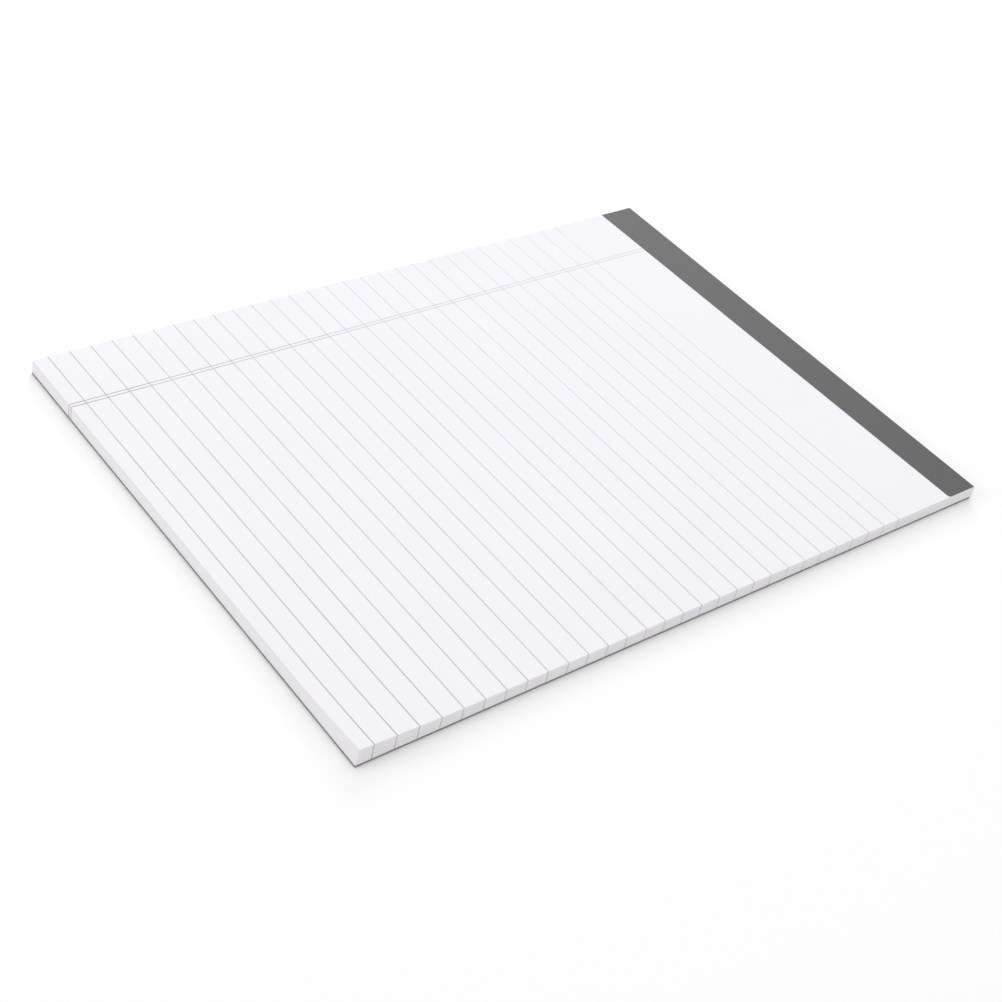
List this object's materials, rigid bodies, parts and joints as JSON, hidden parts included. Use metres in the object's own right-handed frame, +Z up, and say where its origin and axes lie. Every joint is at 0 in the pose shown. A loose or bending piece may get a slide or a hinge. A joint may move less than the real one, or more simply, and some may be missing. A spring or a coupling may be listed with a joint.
{
  "type": "legal pad",
  "caption": "Top-bound legal pad: ruled white sheets with a double margin line, a stiff backing board and a dark binding tape folded over the head.",
  "frame": {"origin": "middle of the pad's footprint, on the surface that it lies on", "axes": "+X to the right and +Y towards the taped head as the page is read, +Z up out of the page"},
  "size_m": [0.216, 0.2986, 0.008],
  "materials": {
    "white_paper": "uncoated white writing paper, matte",
    "grey_ink": "grey ruling ink soaked into the paper, matte",
    "margin_ink": "pale pinkish grey margin ink soaked into the paper, matte",
    "grey_board": "unlined brownish grey chipboard, matte",
    "binding_tape": "dark grey paper binding tape, matte with a faint sheen",
    "staple_wire": "flat stitching wire, plain"
  },
  "bodies": {
    "root": {"sheets": "white_paper", "ruled_lines": "grey_ink", "margin_lines": "margin_ink", "backing_board": "grey_board", "binding_tape": "binding_tape", "staples": "staple_wire"}
  },
  "joints": []
}
